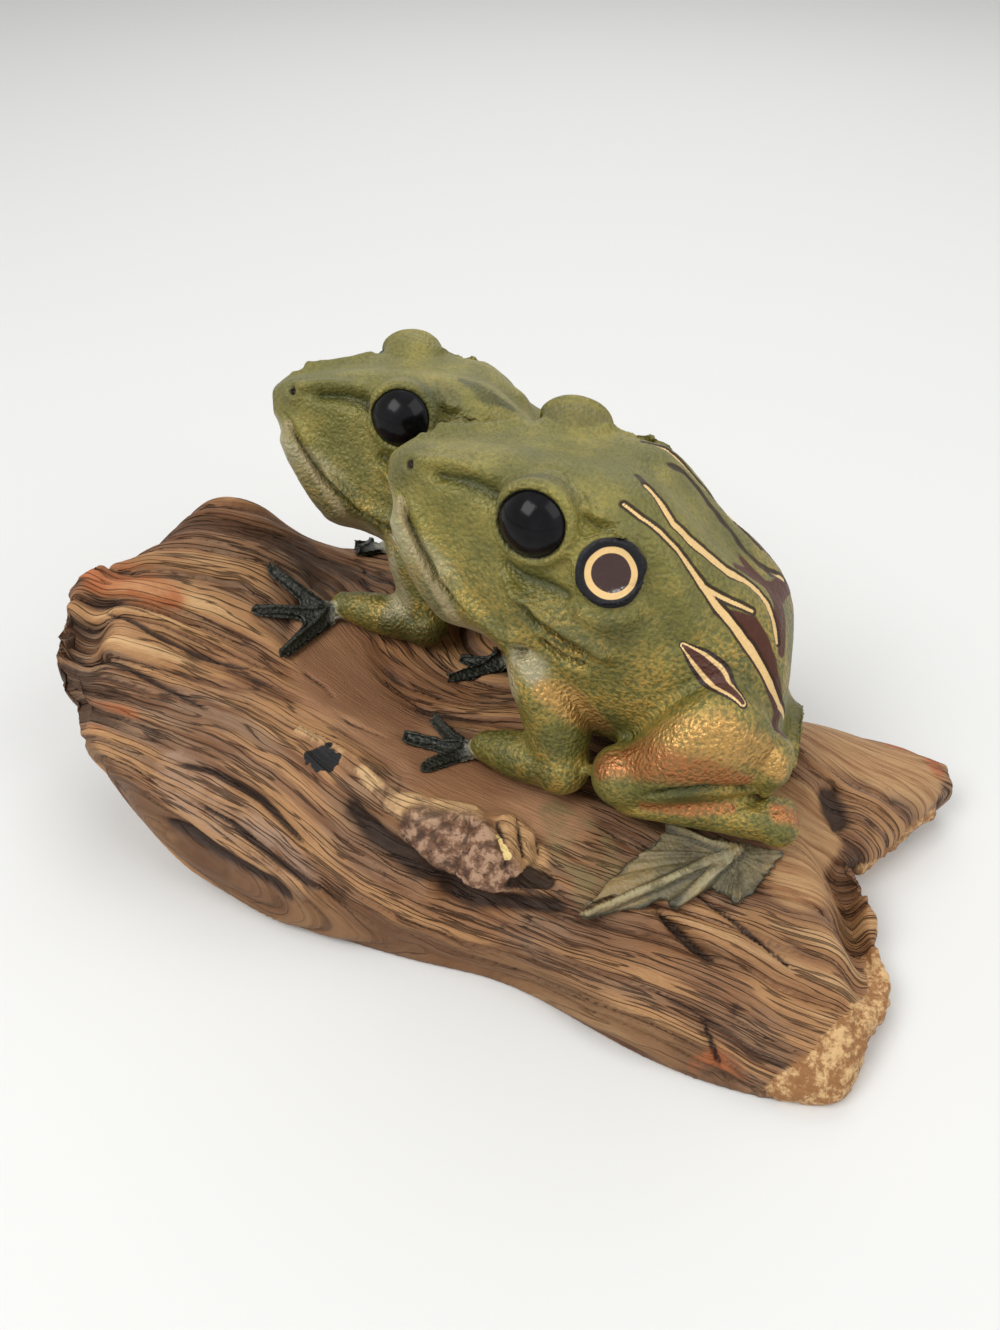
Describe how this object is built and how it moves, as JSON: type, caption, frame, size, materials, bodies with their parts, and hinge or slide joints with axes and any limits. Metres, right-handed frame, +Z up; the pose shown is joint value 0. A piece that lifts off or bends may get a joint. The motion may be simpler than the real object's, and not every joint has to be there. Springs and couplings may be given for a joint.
{
  "type": "frog figurine",
  "caption": "Painted frogs with webbed feet sitting side by side on a flat-bottomed piece of driftwood; ornament that stands on a shelf or table.",
  "frame": {"origin": "middle of the footprint's box, on the surface that the driftwood rests on", "axes": "+X along the driftwood from its left end to its forked right end, +Y from the front frog to the rear frog, +Z up"},
  "size_m": [0.183, 0.1478, 0.0847],
  "materials": {
    "driftwood": "weathered, carved grain, thin satin varnish",
    "painted_green": "cast resin with hammered metallic olive and gold paint",
    "painted_copper": "cast resin with hammered metallic copper paint and gold touches",
    "painted_grey": "cast resin with satin grey-green paint",
    "eye_bead": "black, polished",
    "screw_steel": "plain zinc-plated"
  },
  "bodies": {
    "root": {"driftwood_base": "driftwood", "front_frog_body": "painted_green", "front_frog_left_eye": "eye_bead", "front_frog_right_eye": "eye_bead", "front_frog_left_foreleg": "painted_green", "front_frog_right_foreleg": "painted_green", "front_frog_left_hand": "painted_grey", "front_frog_right_hand": "painted_grey", "front_frog_left_hind_leg": "painted_copper", "front_frog_right_hind_leg": "painted_copper", "front_frog_left_hind_foot": "painted_grey", "front_frog_right_hind_foot": "painted_grey", "front_frog_screw": "screw_steel", "rear_frog_body": "painted_green", "rear_frog_left_eye": "eye_bead", "rear_frog_right_eye": "eye_bead", "rear_frog_left_foreleg": "painted_green", "rear_frog_right_foreleg": "painted_green", "rear_frog_left_hand": "painted_grey", "rear_frog_right_hand": "painted_grey", "rear_frog_left_hind_leg": "painted_copper", "rear_frog_right_hind_leg": "painted_copper", "rear_frog_left_hind_foot": "painted_grey", "rear_frog_right_hind_foot": "painted_grey", "rear_frog_screw": "screw_steel"}
  },
  "joints": []
}
